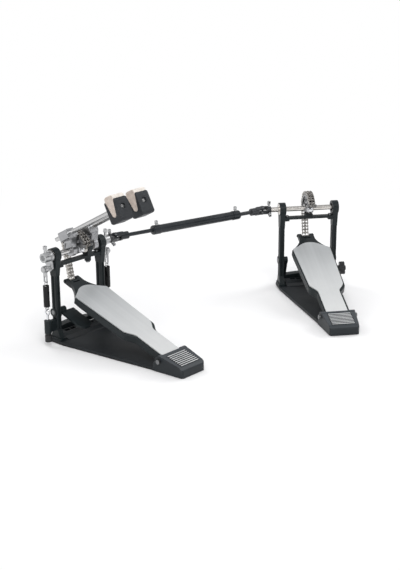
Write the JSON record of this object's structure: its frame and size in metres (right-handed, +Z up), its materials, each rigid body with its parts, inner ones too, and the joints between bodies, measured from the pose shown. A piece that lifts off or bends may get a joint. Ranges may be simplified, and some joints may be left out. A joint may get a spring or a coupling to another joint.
{
  "type": "double bass drum pedal",
  "caption": "Double bass drum pedal: main pedal with two beaters on chain-driven axles, a telescopic linkage with universal joints, and a slave pedal for the other foot.",
  "frame": {"origin": "on the floor under the middle of the main pedal's axle", "axes": "+X along the main axle towards the slave pedal, +Y towards the bass drum, +Z up"},
  "size_m": [0.6329, 0.4188, 0.2959],
  "materials": {
    "black_cast": "satin black coating on die-cast aluminium",
    "black_plate": "satin black coating on pressed steel plate",
    "rubber_mat": "fine-ribbed black rubber",
    "grip_rubber": "ribbed grey rubber",
    "chrome": "bright chrome plating",
    "nickel_cast": "satin nickel on cast steel",
    "bright_steel": "ground bright steel",
    "chain_steel": "nickel-plated chain steel, lightly oiled",
    "dark_steel": "black oxide steel",
    "silver_deck": "fine satin silver finish on aluminium",
    "beater_plastic": "fine-grained black plastic",
    "beater_felt": "pressed beige wool felt",
    "sleeve_rubber": "smooth black rubber tube",
    "black_knob": "moulded black plastic",
    "linkage_black": "satin black anodised tube"
  },
  "bodies": {
    "root": {"main_base_plate": "black_plate", "main_base_mat": "rubber_mat", "main_posts": "black_cast", "main_bridge": "black_cast", "main_bearings": "bright_steel", "main_heel_block": "black_cast", "main_heel_grip": "grip_rubber", "main_frame_fasteners": "chrome", "tension_rods": "chrome"},
    "main_rotor": {"main_axle": "bright_steel", "main_cam": "nickel_cast", "left_beater_holder": "nickel_cast", "left_rocker": "nickel_cast", "main_chain_on_cam": "chain_steel"},
    "main_chain_mid": {"main_chain_segment": "chain_steel"},
    "main_chain_end": {"main_chain_hanging": "chain_steel"},
    "main_footboard": {"main_footboard_frame": "black_cast", "main_footboard_plate": "silver_deck"},
    "left_rod": {"left_beater_rod": "bright_steel"},
    "left_head": {"left_beater_shell": "beater_plastic", "left_beater_felt": "beater_felt"},
    "left_hanger": {"left_spring_hanger": "nickel_cast"},
    "left_spring": {"left_spring_coil": "bright_steel", "left_spring_sleeve": "sleeve_rubber"},
    "left_knob": {"left_tension_knob": "black_knob"},
    "drive_rotor": {"drive_axle": "bright_steel", "right_beater_holder": "nickel_cast", "right_rocker": "nickel_cast", "drive_yoke": "dark_steel"},
    "right_rod": {"right_beater_rod": "bright_steel"},
    "right_head": {"right_beater_shell": "beater_plastic", "right_beater_felt": "beater_felt"},
    "right_hanger": {"right_spring_hanger": "nickel_cast"},
    "right_spring": {"right_spring_coil": "bright_steel", "right_spring_sleeve": "sleeve_rubber"},
    "right_knob": {"right_tension_knob": "black_knob"},
    "drive_cross": {"drive_cross": "chrome"},
    "linkage_tube": {"linkage_tube": "linkage_black"},
    "linkage_rod": {"linkage_rod": "dark_steel"},
    "slave_cross": {"slave_cross": "chrome"},
    "slave_frame": {"slave_base_plate": "black_plate", "slave_base_mat": "rubber_mat", "slave_posts": "black_cast", "slave_bridge": "black_cast", "slave_bearings": "bright_steel", "slave_heel_block": "black_cast", "slave_heel_grip": "grip_rubber", "slave_frame_fasteners": "chrome"},
    "slave_rotor": {"slave_yoke": "dark_steel", "slave_axle": "bright_steel", "slave_cam": "nickel_cast", "slave_chain_on_cam": "chain_steel"},
    "slave_chain_mid": {"slave_chain_segment": "chain_steel"},
    "slave_chain_end": {"slave_chain_hanging": "chain_steel"},
    "slave_footboard": {"slave_footboard_frame": "black_cast", "slave_footboard_plate": "silver_deck"},
    "main_clamp_lever": {"main_clamp_lever": "black_cast"},
    "main_clamp_wing": {"main_clamp_wing_bolt": "black_knob"},
    "slave_clamp_lever": {"slave_clamp_lever": "black_cast"},
    "slave_clamp_wing": {"slave_clamp_wing_bolt": "black_knob"}
  },
  "joints": [
    {"name": "main_beater_swing", "type": "hinge", "parent": "root", "child": "main_rotor", "pos_m": [0, 0, 0.165], "axis": [-1, 0, 0], "range_deg": [0, 56], "stiffness_Nm_per_rad": 1, "springref_deg": -17.19},
    {"name": "main_chain_fold_upper", "type": "hinge", "parent": "main_rotor", "child": "main_chain_mid", "pos_m": [0, 0.02363, 0.18673], "axis": [1, 0, 0], "range_deg": [0, 26]},
    {"name": "main_chain_fold_lower", "type": "hinge", "parent": "main_chain_mid", "child": "main_chain_end", "pos_m": [0, 0.03304, 0.17016], "axis": [1, 0, 0], "range_deg": [0, 38.7]},
    {"name": "main_footboard_press", "type": "hinge", "parent": "root", "child": "main_footboard", "pos_m": [0, -0.235, 0.0203], "axis": [-1, 0, 0], "range_deg": [0, 7.4]},
    {"name": "left_hanger_swing", "type": "hinge", "parent": "main_rotor", "child": "left_hanger", "pos_m": [-0.076, 0, 0.144], "axis": [1, 0, 0], "range_deg": [0, 67.1]},
    {"name": "left_spring_stretch", "type": "slide", "parent": "left_hanger", "child": "left_spring", "axis": [0, 0, -1], "range_m": [0, 0.0112], "deforming": ["left_spring_coil"]},
    {"name": "drive_beater_swing", "type": "hinge", "parent": "root", "child": "drive_rotor", "pos_m": [0, 0, 0.165], "axis": [-1, 0, 0], "range_deg": [0, 56], "stiffness_Nm_per_rad": 1, "springref_deg": -17.19},
    {"name": "right_hanger_swing", "type": "hinge", "parent": "drive_rotor", "child": "right_hanger", "pos_m": [0.071, 0, 0.144], "axis": [1, 0, 0], "range_deg": [0, 67.1]},
    {"name": "right_spring_stretch", "type": "slide", "parent": "right_hanger", "child": "right_spring", "axis": [0, 0, -1], "range_m": [0, 0.0112], "deforming": ["right_spring_coil"]},
    {"name": "left_rod_slide", "type": "slide", "parent": "main_rotor", "child": "left_rod", "axis": [0, -0.8796, 0.4756], "range_m": [-0.015, 0.015]},
    {"name": "left_head_turn", "type": "hinge", "parent": "left_rod", "child": "left_head", "pos_m": [-0.03, -0.14245, 0.27158], "axis": [0, -0.8796, 0.4756], "continuous": true},
    {"name": "left_knob_turn", "type": "hinge", "parent": "root", "child": "left_knob", "pos_m": [-0.076, 0, 0.016], "axis": [0, 0, 1], "continuous": true},
    {"name": "right_rod_slide", "type": "slide", "parent": "drive_rotor", "child": "right_rod", "axis": [0, -0.8796, 0.4756], "range_m": [-0.015, 0.015]},
    {"name": "right_head_turn", "type": "hinge", "parent": "right_rod", "child": "right_head", "pos_m": [0.02, -0.14245, 0.27158], "axis": [0, -0.8796, 0.4756], "continuous": true},
    {"name": "right_knob_turn", "type": "hinge", "parent": "root", "child": "right_knob", "pos_m": [0.071, 0, 0.016], "axis": [0, 0, 1], "continuous": true},
    {"name": "drive_cross_tilt", "type": "hinge", "parent": "drive_rotor", "child": "drive_cross", "pos_m": [0.094, 0, 0.165], "axis": [0, 0.8829, 0.4695], "range_deg": [0, 14.1]},
    {"name": "linkage_tube_spin", "type": "hinge", "parent": "root", "child": "linkage_tube", "pos_m": [0.094, 0, 0.165], "axis": [-0.9675, 0.2527, 0], "range_deg": [0, 57.7]},
    {"name": "slave_pedal_slide", "type": "slide", "parent": "root", "child": "slave_frame", "axis": [0.9675, -0.2527, 0], "range_m": [-0.02, 0.08]},
    {"name": "linkage_rod_spin", "type": "hinge", "parent": "slave_frame", "child": "linkage_rod", "pos_m": [0.41716, -0.08442, 0.165], "axis": [-0.9675, 0.2527, 0], "range_deg": [0, 57.7]},
    {"name": "slave_axle_swing", "type": "hinge", "parent": "slave_frame", "child": "slave_rotor", "pos_m": [0.49195, -0.143, 0.165], "axis": [-0.7873, 0.6166, 0], "range_deg": [0, 53.6]},
    {"name": "slave_cross_tilt", "type": "hinge", "parent": "slave_rotor", "child": "slave_cross", "pos_m": [0.41716, -0.08442, 0.165], "axis": [0.5504, 0.7027, 0.4509], "range_deg": [-22.2, 0]},
    {"name": "slave_chain_fold_upper", "type": "hinge", "parent": "slave_rotor", "child": "slave_chain_mid", "pos_m": [0.50652, -0.12439, 0.18673], "axis": [0.7873, -0.6166, 0], "range_deg": [0, 24.9]},
    {"name": "slave_chain_fold_lower", "type": "hinge", "parent": "slave_chain_mid", "child": "slave_chain_end", "pos_m": [0.51232, -0.11699, 0.17016], "axis": [0.7873, -0.6166, 0], "range_deg": [0, 37]},
    {"name": "slave_footboard_press", "type": "hinge", "parent": "slave_frame", "child": "slave_footboard", "pos_m": [0.34704, -0.328, 0.0203], "axis": [-0.7873, 0.6166, 0], "range_deg": [0, 7.1]},
    {"name": "main_clamp_lever_swing", "type": "hinge", "parent": "root", "child": "main_clamp_lever", "pos_m": [0, 0.003, 0.058], "axis": [1, 0, 0], "range_deg": [0, 12]},
    {"name": "main_clamp_wing_turn", "type": "hinge", "parent": "root", "child": "main_clamp_wing", "pos_m": [0, -0.0105, 0.038], "axis": [1, 0, 0], "range_deg": [0, 276]},
    {"name": "slave_clamp_lever_swing", "type": "hinge", "parent": "slave_frame", "child": "slave_clamp_lever", "pos_m": [0.49379, -0.14063, 0.058], "axis": [0.7873, -0.6166, 0], "range_deg": [0, 12]},
    {"name": "slave_clamp_wing_turn", "type": "hinge", "parent": "slave_frame", "child": "slave_clamp_wing", "pos_m": [0.48547, -0.15126, 0.038], "axis": [0.7873, -0.6166, 0], "range_deg": [0, 276]}
  ],
  "couplings": [
    {"joint": "main_chain_fold_upper", "follows": "main_beater_swing", "ratio": 0.463},
    {"joint": "main_chain_fold_lower", "follows": "main_beater_swing", "ratio": 0.68914},
    {"joint": "main_footboard_press", "follows": "main_beater_swing", "ratio": 0.13079},
    {"joint": "left_hanger_swing", "follows": "main_beater_swing", "ratio": 1.1971},
    {"joint": "left_spring_stretch", "follows": "main_beater_swing", "m_per_rad": 0.011192},
    {"joint": "right_hanger_swing", "follows": "drive_beater_swing", "ratio": 1.1971},
    {"joint": "right_spring_stretch", "follows": "drive_beater_swing", "m_per_rad": 0.011192},
    {"joint": "drive_cross_tilt", "follows": "drive_beater_swing", "ratio": 0.24971},
    {"joint": "linkage_tube_spin", "follows": "drive_beater_swing", "ratio": 1.0283},
    {"joint": "linkage_rod_spin", "follows": "drive_beater_swing", "ratio": 1.0283},
    {"joint": "slave_axle_swing", "follows": "drive_beater_swing", "ratio": 0.95568},
    {"joint": "slave_cross_tilt", "follows": "drive_beater_swing", "ratio": -0.39431},
    {"joint": "slave_chain_fold_upper", "follows": "drive_beater_swing", "ratio": 0.44248},
    {"joint": "slave_chain_fold_lower", "follows": "drive_beater_swing", "ratio": 0.6586},
    {"joint": "slave_footboard_press", "follows": "drive_beater_swing", "ratio": 0.12499},
    {"joint": "main_clamp_wing_turn", "follows": "main_clamp_lever_swing", "ratio": 22.5},
    {"joint": "slave_clamp_wing_turn", "follows": "slave_clamp_lever_swing", "ratio": 22.5}
  ]
}
